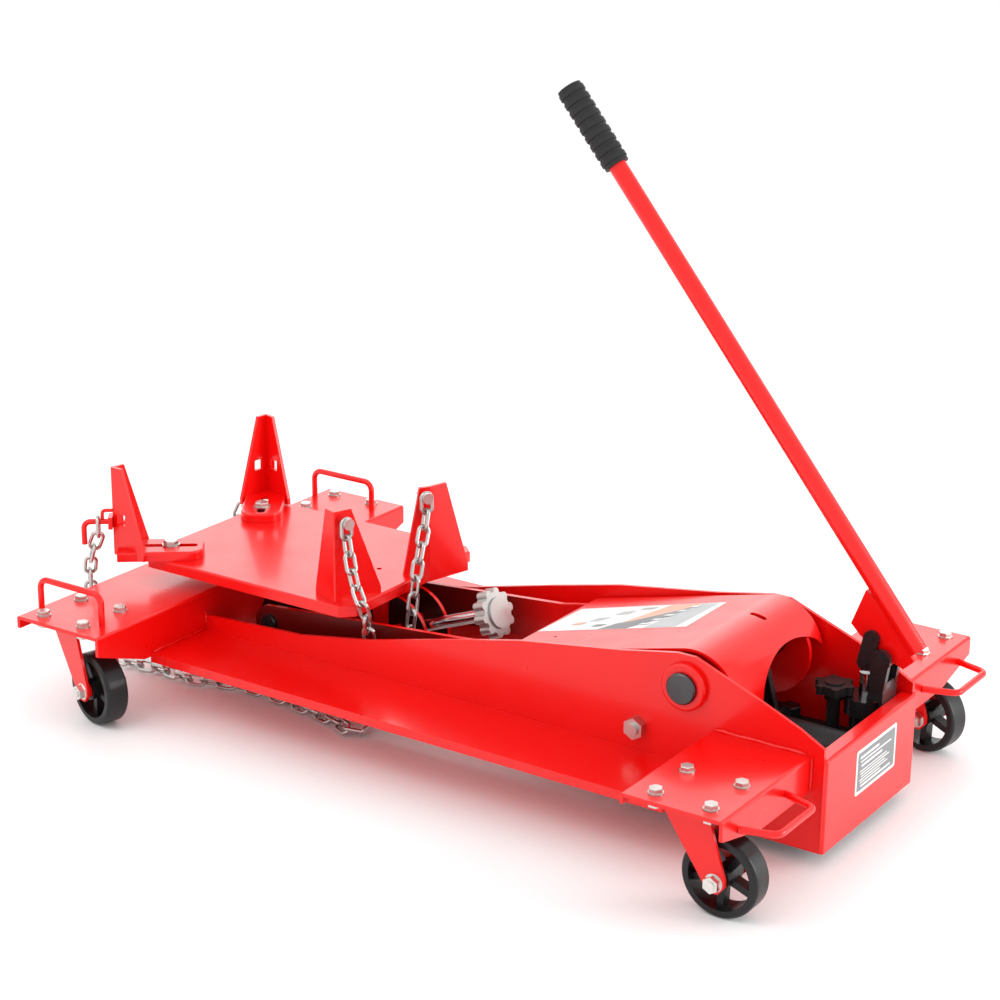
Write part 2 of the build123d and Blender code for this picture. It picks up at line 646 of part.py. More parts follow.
def front_bracket(back):
    """Slotted channel foot with a folded upright at its outer end; the bolt is on Z."""
    x0, x1 = -back + 4, FOOT_LENGTH - back
    half = FOOT_WIDTH / 2
    top = FOOT_Z + FOOT_H
    outer = block(x0, x1, -half, half, FOOT_Z, top)
    nose = outer.edges().filter_by(Axis.Z).group_by(Axis.X)[-1]
    outer = fillet(nose, 22)
    crown = outer.faces().sort_by(Axis.Z)[-1].edges()
    outer = fillet([e for e in crown if e.center().X > x0 + 1], 3)
    inner = block(x0 - 1, x1 - SHEET, -half + SHEET, half - SHEET, 0, top - SHEET)
    inner = fillet(inner.edges().filter_by(Axis.Z).group_by(Axis.X)[-1], 17)
    foot = outer - inner
    slot = Pos(80 - back, 0, FOOT_Z) * extrude(SlotOverall(SLOT_LENGTH, SLOT_WIDTH), 40)
    legs = [(-40, 58, 19), (40, 58, 19)]
    upright = vee(-back, 0, legs, FOOT_Z + 2, BRACKET_H)
    window = block(-back - 30, -back + 26, -17, -7, FOOT_Z + 50, FOOT_Z + 66)
    window += mirrored(window)
    return foot - slot + (upright - window)


def bracket_bolt():
    """Clamp bolt through the foot's slot and the plate, with its nut below."""
    top = FOOT_Z + FOOT_H
    head = fillet(hexagon(0, 0, 19, top + 2.4, top + 8.4).edges().group_by(Axis.Z)[-1], 1.5)
    washer = post(0, 0, 13, top + 0.3, top + 2.4)
    under = PLATE_Z - SHEET - 0.3
    nut = hexagon(0, 0, 19, under - 8, under)
    return head + washer + nut + post(0, 0, 6 - RUN, under - 10, top + 5)


def hook(back):
    """J-hook of round bar on the outside of the fold, with a keeper bar over it."""
    x = -back - BRACKET_T / 2
    z = FOOT_Z + 52
    jay = bent_rod([(x, 0, z), (x - 42, 0, z), (x - 42, 0, z - 34)], 4, 10)
    keep = bent_rod([(x, 0, z + 17), (x - 15, 0, z + 17), (x - 15, 0, z + 4)], 2.6, 5)
    block_x = block(x - 6, x, -11, 11, z - 9, z + 9)
    return (jay + block_x, keep)


save("saddle_plate", saddle_plate())
save("near_rear_bracket", rear_bracket("near", NEAR_REAR_FOLD, NEAR_REAR_LEGS, PLATE_Z, BRACKET_H))
save("far_rear_bracket", rear_bracket("far", FAR_REAR_FOLD, FAR_REAR_LEGS, 181, 143))
save("chain_bolts", chain_bolt("near"), chain_bolt("far"))
for side, (_, _, back) in FRONT.items():
    save(f"{side}_front_bracket", at_bolt(side, front_bracket(back)))
    save(f"{side}_bracket_bolt", at_bolt(side, bracket_bolt()))
    save(f"{side}_chain_hook", *[at_bolt(side, part) for part in hook(back)])


# ---------------------------------------------------------------- tilt screw
def knob_outline(frame, radius, lobe, count):
    """Star-shaped hand knob profile: a disc with round lobes on its rim."""
    outline = Circle(radius)
    for k in range(count):
        turn = radians(360 / count * k)
        outline += Pos(radius * cos(turn), radius * sin(turn)) * Circle(lobe)
    return frame * outline


def tilt_knob():
    """Ten-lobed hand knob with a raised face and a hub towards the screw."""
    frame = Plane(along_screw(SCREW_LENGTH), x_dir=(0, 1, 0), z_dir=SCREW_DIR)
    rim = extrude(knob_outline(frame, 29.5, 6.2, 10), 17)
    face = bar(along_screw(SCREW_LENGTH + 14), along_screw(SCREW_LENGTH + 21), 22)
    hub = bar(along_screw(SCREW_LENGTH - 14), along_screw(SCREW_LENGTH + 2), 14)
    return rim + face + hub - bar(along_screw(SCREW_LENGTH - 30), along_screw(SCREW_LENGTH + 5), SCREW_R)


save("tilt_screw", bar(along_screw(0), along_screw(SCREW_LENGTH + 5), SCREW_R)
     + bar(along_screw(47), along_screw(53), 12))
save("tilt_knob", tilt_knob())


# ---------------------------------------------------------------- safety chains
LINK_INSIDE = CHAIN_PITCH + 0.9
LINK_HALF_WIDTH = 7.75           # wire centre to link centre
CHAIN_ON_FLOOR = 10.2


def chain_link():
    """One welded link, long way on X, lying in the XY plane."""
    reach = (LINK_INSIDE + CHAIN_WIRE) / 2 - LINK_HALF_WIDTH
    side = CHAIN_WIRE / 2
    straight = bar((-reach, LINK_HALF_WIDTH, 0), (reach, LINK_HALF_WIDTH, 0), side)
    end = Solid.make_torus(LINK_HALF_WIDTH, side, Plane.XY)
    right = Pos(reach, 0, 0) * (end & block(0, 20, -20, 20, -10, 10))
    left = Pos(-reach, 0, 0) * (end & block(-20, 0, -20, 20, -10, 10))
    return straight + mirrored(straight) + right + left


def chain(points, facings):
    """Links laid end to end along a smooth route, each a quarter turn from the last."""
    route = Spline(*points)
    count = 2 * round((route.length / CHAIN_PITCH - 1) / 2) + 1
    joints = [route @ (k / count) for k in range(count + 1)]
    link = chain_link()
    links = []
    for k in range(count):
        start, stop = joints[k], joints[k + 1]
        share = 2 * k / (count - 1)
        first, second = facings[:2] if share < 1 else facings[1:]
        blend = share if share < 1 else share - 1
        facing = Vector(*first) * (1 - blend) + Vector(*second) * blend
        along = (stop - start).normalized()
        facing = (facing - along * facing.dot(along)).normalized()
        if k % 2:
            facing = along.cross(facing)
        links.append(Plane((start + stop) * 0.5, x_dir=along, z_dir=facing) * link)
    return links


def hook_point(side, z):
    """Where the last link hangs, half way along the bracket's hook."""
    (x, y), angle, back = FRONT[side]
    reach = back + 24
    return (x - reach * cos(radians(angle)), y - reach * sin(radians(angle)), z)


def chain_start(side, drop):
    at, out = chain_bolt_axis(side)
    point = at + out * 13.8
    return (point.X, point.Y, CHAIN_Z + 3 - drop)


HOOK_Z = FOOT_Z + 52
low = CHAIN_ON_FLOOR
NEAR_ROUTE = [
    chain_start("near", 0), chain_start("near", 24), (362, -143, 262), (371, -142, 222),
    (380, -137, 192), (377, -122, 154), (374, -114, 118), (374, -112, 80), (376, -112, 48),
    (382, -120, 22), (384, -138, low + 1), (366, -149, low), (337, -140, low), (293, -129, low),
    (219, -117, low), (106, -120, low), (58, -136, low), (2, -132, low), (-50, -140, low),
    (-88, -143, low + 6), (-107, -147, 32), (-112, -154, 65), (-104, -168, 110),
    (-90, -183, 160), (-72, -192, 205), hook_point("near", HOOK_Z - 20),
    hook_point("near", HOOK_Z + 4),
]
FAR_ROUTE = [
    chain_start("far", 0), chain_start("far", 24), (380, 0, 252), (384, -18, 212),
    (386, -30, 170), (386, -38, 130), (384, -43, 85), (380, -45, 45), (370, -45, 20),
    (346, -40, low + 1), (308, -22, low), (205, 46, low), (91, 92, low), (-20, 110, low),
    (-60, 116, low),
    (-92, 122, low + 6), (-110, 130, 32), (-116, 138, 65), (-110, 151, 110),
    (-94, 163, 160), (-66, 171, 205), hook_point("far", HOOK_Z - 20),
    hook_point("far", HOOK_Z + 4),
]


def across_hook(side):
    angle = radians(FRONT[side][1])
    return (cos(angle), sin(angle), 0)


for side, route in (("near", NEAR_ROUTE), ("far", FAR_ROUTE)):
    at_bolt_end = tuple(chain_bolt_axis(side)[1])
    save(f"{side}_chain", *chain(route, [at_bolt_end, (0, 1, 1), across_hook(side)]))


# ---------------------------------------------------------------- hydraulic unit
BASE_TOP = 34.0
BLOCK_TOP = 80.0
RAM_Z = ROLLER[1]
PISTON_X = LINK_LOW[0]
GUIDE_TOP = 148.0


def pump_block():
    """Cast reservoir and valve block beside the ram."""
    body = block(900, 1080, 45, 124, BASE_TOP, BLOCK_TOP)
    body = fillet(body.edges().filter_by(Axis.Z), 6)
    body = fillet(body.faces().sort_by(Axis.Z)[-1].edges(), 2.5)
    body -= post(PISTON_X, PUMP_Y, 9.5 + RUN, BASE_TOP + 10, 200)
    body -= post(*VALVE, 9 + RUN, BASE_TOP + 18, 200)
    return body - post(*FILLER, 8, BLOCK_TOP - 14, 200)


def oil_tank():
    """Plain tank on the ram's other side."""
    body = block(900, 1080, -124, -30, BASE_TOP, BLOCK_TOP)
    body = fillet(body.edges().filter_by(Axis.Z), 6)
    return fillet(body.faces().sort_by(Axis.Z)[-1].edges(), 2.5)


def pump_barrel():
    """Guide tube of the hand pump with a gland nut on top."""
    body = post(PISTON_X, PUMP_Y, 20, BLOCK_TOP, 125) + post(PISTON_X, PUMP_Y, 28, 125, GUIDE_TOP)
    return body - post(PISTON_X, PUMP_Y, 9.5 + RUN, 0, 200)


def fulcrum_bracket():
    """Post behind the barrel with two ears for the handle's pin."""
    x, z = FULCRUM
    web = block(1062.5, 1067, 67, 109, BLOCK_TOP, 176)
    ear = side_plate([(1047, 152), (1067, 152), (1067, 168), (x + 13, z), (x - 13, z)], 67, 75)
    ear += cross_bar(FULCRUM, 14, 67, 75)
    ears = ear + Pos(0, 34, 0) * ear
    return web + ears - cross_bar(FULCRUM, 8, 0, 200)


def ram_cylinder():
    """Lifting cylinder on its foot, with a gland at the front."""
    body = bar((955, 0, RAM_Z), (1082, 0, RAM_Z), 28)
    body += block(980, 1074, -26, 45, BASE_TOP, RAM_Z - 16)
    body -= bar((900, 0, RAM_Z), (1000, 0, RAM_Z), 14 + RUN)
    return body - bar((963, 0, RAM_Z), (1078, 0, RAM_Z), 21)


def ram_rod():
    """Chromed ram rod with its piston head and the pad that meets the roller."""
    face = ROLLER[0] + ROLLER_R + RAM_GAP
    pad = bar((face, 0, RAM_Z), (face + 5, 0, RAM_Z), 16)
    head = bar((1062, 0, RAM_Z), (1076, 0, RAM_Z), 21 - RUN)
    return chamfer(pad.edges().sort_by(Axis.X)[:1], 1.5) + bar((face + 4, 0, RAM_Z), (1070, 0, RAM_Z), 14) + head


save("pump_base", block(890, BOX_X - SHEET, -WEB_Y, WEB_Y, BASE_TOP - 10, BASE_TOP))
save("belly_plates", *pair(block(780, 899, 34, WEB_Y, 85, 90)))
save("pump_block", pump_block(), oil_tank())
save("pump_barrel", pump_barrel())
save("filler_cap", chamfer(hexagon(*FILLER, 26, BLOCK_TOP, BLOCK_TOP + 18).edges().group_by(Axis.Z)[-1], 2)
     + post(*FILLER, 8, BLOCK_TOP - 12, BLOCK_TOP + 2))
save("fulcrum_bracket", fulcrum_bracket())
save("fulcrum_pin", cross_bar(FULCRUM, 8, 63, 113))
save("ram_cylinder", ram_cylinder())
save("ram_rod", ram_rod())


def release_knob():
    """Star knob on the release valve's stem, which is threaded into the block."""
    frame = Plane((*VALVE, 150), x_dir=(1, 0, 0), z_dir=(0, 0, 1))
    star = extrude(knob_outline(frame, 22, 5.5, 6), 12)
    stem = post(*VALVE, 9, BASE_TOP + 20, 151)
    return star + stem + post(*VALVE, 13, 140, 164)


save("release_knob", release_knob())


# ---------------------------------------------------------------- pump handle
def piston():
    """Pump piston whose flattened eye takes the links' lower pin with play."""
    stem = post(PISTON_X, PUMP_Y, 9.5, 110, 181)
    eye = block(PISTON_X - 8, PISTON_X + 8, PUMP_Y - 4, PUMP_Y + 4, 179, LINK_LOW[1])
    eye += cross_bar(LINK_LOW, 10, PUMP_Y - 4, PUMP_Y + 4)
    return stem + eye - cross_bar(LINK_LOW, 4 + LINK_PIN_PLAY, 0, 200)


LINK_PIN_PLAY = 1.6


def pump_links():
    """Two links either side of the piston eye, joined by their pins."""
    plate = lever(LINK_TOP, LINK_LOW, 11, 11, PUMP_Y + 6, PUMP_Y + 11)
    other = Pos(0, -17, 0) * plate
    pins = cross_bar(LINK_TOP, 4, PUMP_Y - 14, PUMP_Y + 14)
    pins += cross_bar(LINK_LOW, 4, PUMP_Y - 14, PUMP_Y + 14)
    return plate + other + pins


def handle_axis(distance):
    """A point on the handle's centre line, measured up from its lower end."""
    low, high = Vector(HANDLE_LOW[0], PUMP_Y, HANDLE_LOW[1]), Vector(HANDLE_TOP[0], PUMP_Y, HANDLE_TOP[1])
    return low + (high - low).normalized() * distance


HANDLE_LENGTH = hypot(HANDLE_TOP[0] - HANDLE_LOW[0], HANDLE_TOP[1] - HANDLE_LOW[1])


def yoke():
    """Gusset under the tube with the lug that turns on the fulcrum pin."""
    outline = [(1027, 294), (1009, 245), (1023, 231), FULCRUM, (1086, 198), (1112, 223), (1080, 262)]
    body = side_plate(outline, PUMP_Y - 5, PUMP_Y + 5)
    body += cross_bar(FULCRUM, 13, PUMP_Y - 5, PUMP_Y + 5)
    body += lever(LINK_TOP, (1050, 250), 9.5, 14, PUMP_Y - 5, PUMP_Y + 5)
    body -= bar(handle_axis(-40), handle_axis(200), HANDLE_R)
    body = max(body.solids(), key=lambda solid: solid.volume)
    return body - cross_bar(FULCRUM, 8 + RUN, 0, 200) - cross_bar(LINK_TOP, 4 + RUN, 0, 200)


def grip():
    """Ribbed hand grip pushed over the handle's end."""
    start = HANDLE_LENGTH - GRIP_LENGTH + 4
    body = bar(handle_axis(start), handle_axis(HANDLE_LENGTH + 4), GRIP_R - 1.5)
    for k in range(9):
        at = start + 6 + 13 * k
        body += bar(handle_axis(at), handle_axis(at + 7), GRIP_R)
    return body - bar(handle_axis(0), handle_axis(HANDLE_LENGTH), HANDLE_R)


save("pump_piston", piston())
save("pump_links", pump_links())
save("handle_yoke", yoke())
save("handle_tube", bar(handle_axis(0), handle_axis(HANDLE_LENGTH), HANDLE_R)
     - bar(handle_axis(-1), handle_axis(HANDLE_LENGTH - 6), HANDLE_R - 2.5))
save("handle_grip", grip())
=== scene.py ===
from math import cos, pi, radians, sin

import bpy
from mathutils import Matrix, Vector


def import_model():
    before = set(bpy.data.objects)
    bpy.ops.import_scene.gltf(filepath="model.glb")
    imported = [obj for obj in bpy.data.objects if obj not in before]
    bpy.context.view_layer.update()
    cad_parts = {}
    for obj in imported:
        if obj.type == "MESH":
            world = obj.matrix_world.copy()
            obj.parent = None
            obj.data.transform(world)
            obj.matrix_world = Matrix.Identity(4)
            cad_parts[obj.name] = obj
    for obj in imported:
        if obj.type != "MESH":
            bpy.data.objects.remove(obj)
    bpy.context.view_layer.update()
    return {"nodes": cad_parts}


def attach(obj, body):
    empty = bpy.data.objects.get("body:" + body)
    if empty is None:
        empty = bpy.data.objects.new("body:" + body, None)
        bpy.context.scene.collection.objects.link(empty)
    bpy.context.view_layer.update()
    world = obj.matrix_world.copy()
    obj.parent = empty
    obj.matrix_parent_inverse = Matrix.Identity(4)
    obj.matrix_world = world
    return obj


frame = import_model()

# The frame is in metres. The pieces made here are drawn in millimetres, from the front casters
# (X), the middle (Y) and the floor (Z), and at() turns those into the frame's own.
OX = 0.51770                     # the front casters stand at X = -OX
MM = 1000
D = bpy.data
scene = bpy.context.scene

# ---------------------------------------------------------------- sizes taken from the part
CASTER_AT = {"near_front": (0, -295, -16), "far_front": (0, 295, 12),
             "near_rear": (1000, -295, 0), "far_rear": (1000, 295, -10)}   # mm, mm, degrees
AXLE_TRAIL = 0.040               # from the kingpin back to the axle
AXLE_END = 0.0355                # from the wheel's middle out to the axle's nut
AXLE_HEIGHT = 0.052
NUT_REACH = 0.0135               # a sphere of this radius holds an axle's nut and washer
PAINTED_SHADE_END = 0.55 - OX             # the painted shade on the arm's and saddle base's sides ends here
PAINTED_SHADE_FADE = 0.08
BOX_REAR = 1088                  # mm, outer face of the rear box
COVER_CLIMB = 0.2382             # radians, slope of the arm's cover
COVER_FRONT = (600.0, 178.0)     # mm, X and Z of the cover's front edge
EDGE = 0.0008                    # width of the softened edges
ODD_EDGES = {"near_chain": 0, "far_chain": 0, "handle_grip": 0.0005}

# ---------------------------------------------------------------- colours
RED_LIGHT = (0.88, 0.002, 0.001)
RED_DEEP = (0.79, 0.0015, 0.001)
RED_ROUGH = 0.30
# painted shade: the dark colours laid on the saddle base's and the arm's sides for the shadow
# under the saddle
BASE_PAINTED_SHADE = (0.015, 0.002, 0.0015)
ARM_PAINTED_SHADE = (0.13, 0.002, 0.001)
BARE_ZINC = (0.72, 0.71, 0.68)


# ---------------------------------------------------------------- shader helpers
def material(name, color, rough, metal=0.0, coat=0.0, coat_rough=0.05, specular=0.5):
    """A principled material; returns it with its nodes, links and shader."""
    mat = D.materials.new(name)
    mat.use_nodes = True
    tree = mat.node_tree
    shader = tree.nodes["Principled BSDF"]
    shader.inputs["Base Color"].default_value = (*color, 1)
    shader.inputs["Roughness"].default_value = rough
    shader.inputs["Metallic"].default_value = metal
    shader.inputs["Coat Weight"].default_value = coat
    shader.inputs["Coat Roughness"].default_value = coat_rough
    shader.inputs["Specular IOR Level"].default_value = specular
    return mat, tree, shader


def own_space(tree):
    """Coordinates in the object's own space."""
    return tree.nodes.new("ShaderNodeTexCoord").outputs["Object"]


def noise(tree, scale, detail=3.0, stretch=None):
    tex = tree.nodes.new("ShaderNodeTexNoise")
    tex.inputs["Scale"].default_value = scale
    tex.inputs["Detail"].default_value = detail
    source = own_space(tree)
    if stretch:
        mapping = tree.nodes.new("ShaderNodeMapping")
        mapping.inputs["Scale"].default_value = stretch
        tree.links.new(source, mapping.inputs["Vector"])
        source = mapping.outputs["Vector"]
    tree.links.new(source, tex.inputs["Vector"])
    return tex.outputs["Fac"]


def spread(tree, value, low, high, low_in=0.3, high_in=0.7):
    """Map low_in..high_in to low..high and clamp the rest."""
    node = tree.nodes.new("ShaderNodeMapRange")
    node.inputs["From Min"].default_value = low_in
    node.inputs["From Max"].default_value = high_in
    node.inputs["To Min"].default_value = low
    node.inputs["To Max"].default_value = high
    tree.links.new(value, node.inputs["Value"])
    return node.outputs["Result"]


def calc(tree, operation, *values):
    """A math node over linked values and plain numbers."""
    node = tree.nodes.new("ShaderNodeMath")
    node.operation = operation
    for socket, value in zip(node.inputs, values):
        if isinstance(value, float):
            socket.default_value = value
        else:
            tree.links.new(value, socket)
    return node.outputs["Value"]


def split(tree, vector):
    node = tree.nodes.new("ShaderNodeSeparateXYZ")
    tree.links.new(vector, node.inputs["Vector"])
    return node.outputs


def mix_colors(tree, fac, first, second):
    """Blend a colour, plain or linked, towards a plain one."""
    node = tree.nodes.new("ShaderNodeMix")
    node.data_type = "RGBA"
    if isinstance(first, tuple):
        node.inputs[6].default_value = (*first, 1)
    else:
        tree.links.new(first, node.inputs[6])
    node.inputs[7].default_value = (*second, 1)
    tree.links.new(fac, node.inputs[0])
    return node.outputs[2]


def bump(tree, shader, height, strength, distance=0.0005):
    node = tree.nodes.new("ShaderNodeBump")
    node.inputs["Strength"].default_value = strength
    node.inputs["Distance"].default_value = distance
    tree.links.new(height, node.inputs["Height"])
    tree.links.new(node.outputs["Normal"], shader.inputs["Normal"])


def near_any(tree, points, radius):
    """1 within a radius of any of some points in the object's own space, else 0."""
    source = own_space(tree)
    mask = None
    for point in points:
        gap = tree.nodes.new("ShaderNodeVectorMath")
        gap.operation = "DISTANCE"
        gap.inputs[1].default_value = point
        tree.links.new(source, gap.inputs[0])
        inside = calc(tree, "LESS_THAN", gap.outputs["Value"], radius)
        mask = inside if mask is None else calc(tree, "MAXIMUM", mask, inside)
    return mask


def painted_shade_mask(tree, reach):
    """Mask of painted shade: 1 on faces square to Y in front of X = reach, 0 on the rest."""
    normal = tree.nodes.new("ShaderNodeNewGeometry").outputs["Normal"]
    square = spread(tree, calc(tree, "ABSOLUTE", split(tree, normal)["Y"]), 0.0, 1.0, 0.6, 0.9)
    along = split(tree, own_space(tree))["X"]
    front = spread(tree, along, 1.0, 0.0, reach - PAINTED_SHADE_FADE, reach)
    return calc(tree, "MULTIPLY", square, front)


# ---------------------------------------------------------------- finishes
def paint(name, nuts=None, painted_shade_sides=None):
    """Glossy sprayed red with an uneven depth.

    nuts are points round which the piece is bare zinc; the sides colour is painted shade, a
    shadow under the saddle laid on the front part's faces square to Y."""
    mat, tree, shader = material(name, RED_LIGHT, RED_ROUGH, coat=0.35, coat_rough=0.12,
                                 specular=0.38)
    shader.inputs["Coat IOR"].default_value = 1.42
    depth = spread(tree, noise(tree, 5.0, 2.0), 0.0, 1.0, 0.1, 0.9)
    hue = mix_colors(tree, depth, RED_LIGHT, RED_DEEP)
    if painted_shade_sides:
        # painted shade: the front part's faces square to Y are darkened for the shadow under the
        # saddle
        hue = mix_colors(tree, painted_shade_mask(tree, PAINTED_SHADE_END), hue, painted_shade_sides)
    if nuts:
        mask = near_any(tree, nuts, NUT_REACH)
        hue = mix_colors(tree, mask, hue, BARE_ZINC)
        tree.links.new(mask, shader.inputs["Metallic"])
    tree.links.new(hue, shader.inputs["Base Color"])
    gloss = spread(tree, noise(tree, 22, 2.0), RED_ROUGH - 0.07, RED_ROUGH + 0.09, 0.0, 1.0)
    tree.links.new(gloss, shader.inputs["Roughness"])
    return mat


def metal(name, color, rough, scale=300.0, depth=0.08):
    """Bare or plated metal with uneven gloss and a fine grain."""
    mat, tree, shader = material(name, color, rough, metal=1.0)
    tree.links.new(spread(tree, noise(tree, 30, 5.0), rough - 0.08, rough + 0.12),
                   shader.inputs["Roughness"])
    shade = tuple(c * 0.8 for c in color)
    tree.links.new(mix_colors(tree, spread(tree, noise(tree, 12), 0.0, 1.0), color, shade),
                   shader.inputs["Base Color"])
    bump(tree, shader, noise(tree, scale), depth)
    return mat


def dark(name, color, rough, scale=500.0, depth=0.15, coat=0.0):
    """Enamel, casting, rubber, plastic or label ink: one colour with a fine grain."""
    mat, tree, shader = material(name, color, rough, coat=coat, specular=0.35)
    tree.links.new(spread(tree, noise(tree, 25, 4.0), rough - 0.06, rough + 0.12),
                   shader.inputs["Roughness"])
    bump(tree, shader, noise(tree, scale), depth)
    return mat


def axle_nuts(corner):
    """The two ends of a caster's axle, in the frame."""
    x, y, angle = CASTER_AT[corner]
    c, s = cos(radians(angle)), sin(radians(angle))
    return [(x / MM - OX + AXLE_TRAIL * c - side * AXLE_END * s,
             y / MM + AXLE_TRAIL * s + side * AXLE_END * c, AXLE_HEIGHT) for side in (-1, 1)]


RED = paint("red_gloss")
# these two materials carry painted shade on their sides
RED_BASE_SHADED = paint("red_saddle_base_painted_shade", painted_shade_sides=BASE_PAINTED_SHADE)
RED_ARM_SHADED = paint("red_arm_painted_shade", painted_shade_sides=ARM_PAINTED_SHADE)
FORKS = {corner: paint(f"red_{corner}_fork", nuts=axle_nuts(corner)) for corner in CASTER_AT}
ZINC = metal("bright_zinc", (0.66, 0.65, 0.62), 0.32)
CHAIN = metal("chain_zinc", (0.60, 0.59, 0.57), 0.28)
CHROME = metal("chrome", (0.80, 0.80, 0.81), 0.12, depth=0.02)
CAST_ZINC = metal("knob_casting", (0.62, 0.62, 0.60), 0.42, scale=160.0, depth=0.25)
STEEL = metal("dark_steel", (0.10, 0.10, 0.105), 0.38)
BLACK = dark("black_enamel_and_painted_shade", (0.012, 0.012, 0.013), 0.28, depth=0.1, coat=0.4)
CAST = dark("black_casting", (0.014, 0.014, 0.015), 0.42, scale=260.0, depth=0.35)
RUBBER = dark("black_rubber", (0.016, 0.016, 0.016), 0.55, scale=700.0, depth=0.2)
PLASTIC = dark("black_plastic", (0.014, 0.014, 0.014), 0.35, scale=900.0, depth=0.12)
TREAD = dark("wheel_tread", (0.005, 0.005, 0.006), 0.40, scale=240.0, depth=0.2, coat=0.12)

FINISH = {
    RED: ["front_crossbeam", "near_side_rail", "far_side_rail", "rear_box_plate", "rear_wings",
          "front_bar_handles", "rear_loop_handles", "pivot_bosses", "caster_plates", "arm_cover",
          "saddle_plate", "near_rear_bracket", "far_rear_bracket", "near_front_bracket",
          "far_front_bracket", "handle_tube", "handle_yoke", "near_chain_hook",
          "far_chain_hook"],
    RED_BASE_SHADED: ["saddle_base"],
    RED_ARM_SHADED: ["arm_side_plates", "levelling_rods"],
    ZINC: ["link_anchor_bolts", "caster_kingpins", "caster_bolts", "saddle_tilt_pin",
           "near_bracket_bolt", "far_bracket_bolt", "chain_bolts"],
    CHAIN: ["near_chain", "far_chain"],
    CHROME: ["tilt_screw", "ram_rod", "pump_piston"],
    CAST_ZINC: ["tilt_knob"],
    STEEL: ["arm_pivot_shaft", "ram_lever", "lever_roller", "arm_hub_tube", "arm_cross_tube"],
    # arm_front_pins are black as painted shade, for the dark hollow under the saddle where they
    # sit
    BLACK: ["pump_barrel", "filler_cap", "fulcrum_bracket", "pump_links", "fulcrum_pin",
            "arm_front_pins"],
    CAST: ["pump_block", "pump_base", "belly_plates", "ram_cylinder"],
    TREAD: [f"{corner}_caster_wheel" for corner in CASTER_AT],
    PLASTIC: ["release_knob"],
    RUBBER: ["handle_grip"],
}
for corner, finish in FORKS.items():
    FINISH[finish] = [f"{corner}_caster_fork"]


def dress(name, mat):
    """Give a CAD node its finish, softened edges and even shading."""
    obj = frame["nodes"][name]
    for slot in obj.material_slots:
        slot.material = mat
    if not obj.material_slots:
        obj.data.materials.append(mat)
    width = ODD_EDGES.get(name, EDGE)
    if width:
        edge = obj.modifiers.new("soft_edges", "BEVEL")
        edge.width = width
        edge.segments = 2
        edge.limit_method = "ANGLE"
        edge.angle_limit = radians(32)
    even = obj.modifiers.new("even_shading", "WEIGHTED_NORMAL")
    even.keep_sharp = True


for mat, names in FINISH.items():
    for name in names:
        dress(name, mat)


# ---------------------------------------------------------------- pieces made here
def at(x, y, z):
    """A point in millimetres, to the frame."""
    return Vector((x / MM - OX, y / MM, z / MM))


def add(name, verts, faces, mat, body, smooth=True):
    """A mesh that rides on a body."""
    data = D.meshes.new(name)
    data.from_pydata([tuple(v) for v in verts], [], faces)
    data.materials.append(mat)
    for poly in data.polygons:
        poly.use_smooth = smooth
    data.update()
    obj = D.objects.new(name, data)
    scene.collection.objects.link(obj)
    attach(obj, body)


def tube_mesh(path, radii, sides=10):
    """Rings of varying radius along a path, with closed ends."""
    verts, faces = [], []
    for k, point in enumerate(path):
        ahead = (path[min(k + 1, len(path) - 1)] - path[max(k - 1, 0)]).normalized()
        side = ahead.cross(Vector((0, 0, 1)))
        side = side.normalized() if side.length > 0.1 else Vector((1, 0, 0))
        up = side.cross(ahead)
        for j in range(sides):
            a = 2 * pi * j / sides
            verts.append(point + side * radii[k] * cos(a) + up * radii[k] * sin(a))
    for k in range(len(path) - 1):
        for j in range(sides):
            n = (j + 1) % sides
            faces.append((k * sides + j, k * sides + n, (k + 1) * sides + n, (k + 1) * sides + j))
    last = (len(path) - 1) * sides
    faces.append(tuple(range(sides))[::-1])
    faces.append(tuple(last + j for j in range(sides)))
    return verts, faces


PUDDLE = 3.4                     # mm of weld for each of its ripples


def weld(name, start, stop, radius):
    """A fillet weld: a bead with the ripples of each puddle, thinner at its ends."""
    a, b = at(*start), at(*stop)
    length = (b - a).length
    puddles = length / (PUDDLE / MM)
    count = max(12, int(puddles * 4))
    path, radii = [], []
    for k in range(count + 1):
        t = k / count
        ripple = 0.86 + 0.14 * abs(sin(pi * t * puddles))
        uneven = 1 + 0.12 * sin(23 * t + start[0]) + 0.08 * sin(61 * t)
        taper = min(1.0, 0.35 + 60 * length * min(t, 1 - t))
        radii.append(radius / MM * ripple * uneven * taper)
        path.append(a.lerp(b, t) + Vector((0, 0, 0.0004 * sin(17 * t))))
    add(name, *tube_mesh(path, radii), RED, "frame")


# Each weld's start, stop and radius on the far side; the near side has its mirror image.
WEB_FACE = 132.5
BEAM_REAR = 87.5
WELDS = {
    "wing": ((929, WEB_FACE, 152), (1060, WEB_FACE, 152), 3.0),
    "wing_rear": ((1067, WEB_FACE, 150), (1067, WEB_FACE, 106), 2.2),
    "beam": ((BEAM_REAR, 136, 96.5), (BEAM_REAR, 246, 96.5), 2.2),
    "web": ((BEAM_REAR, 132, 97), (BEAM_REAR, 132, 122), 2.0),
    "box": ((1084, 131.5, 24), (1084, 131.5, 150), 1.6),
}


def frame_welds():
    for side, sign in (("near", -1), ("far", 1)):
        for joint, (start, stop, radius) in WELDS.items():
            ends = [(x, sign * y, z) for x, y, z in (start, stop)]
            weld(f"weld_{joint}_{side}", *ends, radius)


STICKER = 0.15                   # mm, thickness


